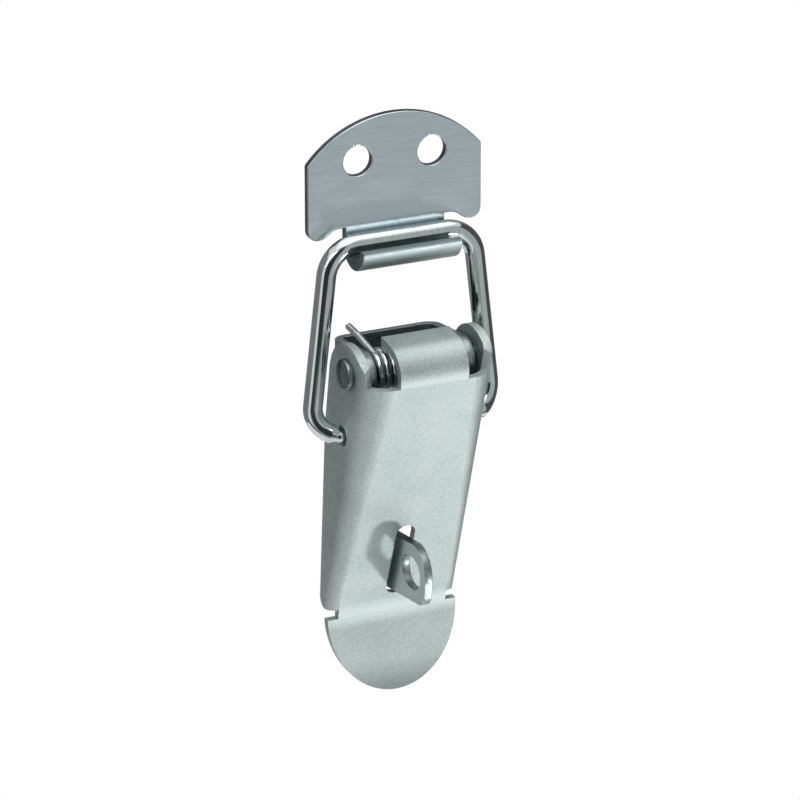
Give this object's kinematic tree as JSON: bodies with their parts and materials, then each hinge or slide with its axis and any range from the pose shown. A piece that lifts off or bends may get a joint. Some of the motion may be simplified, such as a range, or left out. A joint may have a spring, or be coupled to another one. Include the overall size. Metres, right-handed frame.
{
  "type": "over centre toggle latch",
  "caption": "Over centre toggle latch: a sprung lever pulls a wire bail against a hooked catch plate, with a slot and an eye for a padlock.",
  "frame": {"origin": "middle of the base plate's two screw holes, on the face that is screwed to the surface", "axes": "+X across the latch, +Z along it from the base towards the catch plate, +Y into the mounting surface, so the latch stands out towards -Y"},
  "size_m": [0.0294, 0.0173, 0.0856],
  "materials": {
    "base_plate": "matt pressed sheet",
    "lever": "matt pressed sheet",
    "draw_bail": "bright drawn wire",
    "catch_plate": "fine brushed sheet",
    "pivot_rivet": "bright",
    "torsion_spring": "spring wire"
  },
  "bodies": {
    "base": {"base_plate": "base_plate", "pivot_rivet": "pivot_rivet", "torsion_spring": "torsion_spring", "catch_plate": "catch_plate"},
    "lever": {"lever": "lever"},
    "bail": {"draw_bail": "draw_bail"}
  },
  "joints": [
    {"name": "lever_pivot", "type": "hinge", "parent": "base", "child": "lever", "pos_m": [0, -0.0104, 0.015], "axis": [-1, 0, 0], "range_deg": [0, 90]},
    {"name": "bail_pivot", "type": "hinge", "parent": "lever", "child": "bail", "pos_m": [0, -0.0083, 0.0052], "axis": [-1, 0, 0], "range_deg": [-62.1, 0]}
  ],
  "couplings": [
    {"joint": "bail_pivot", "follows": "lever_pivot", "ratio": -0.69}
  ]
}
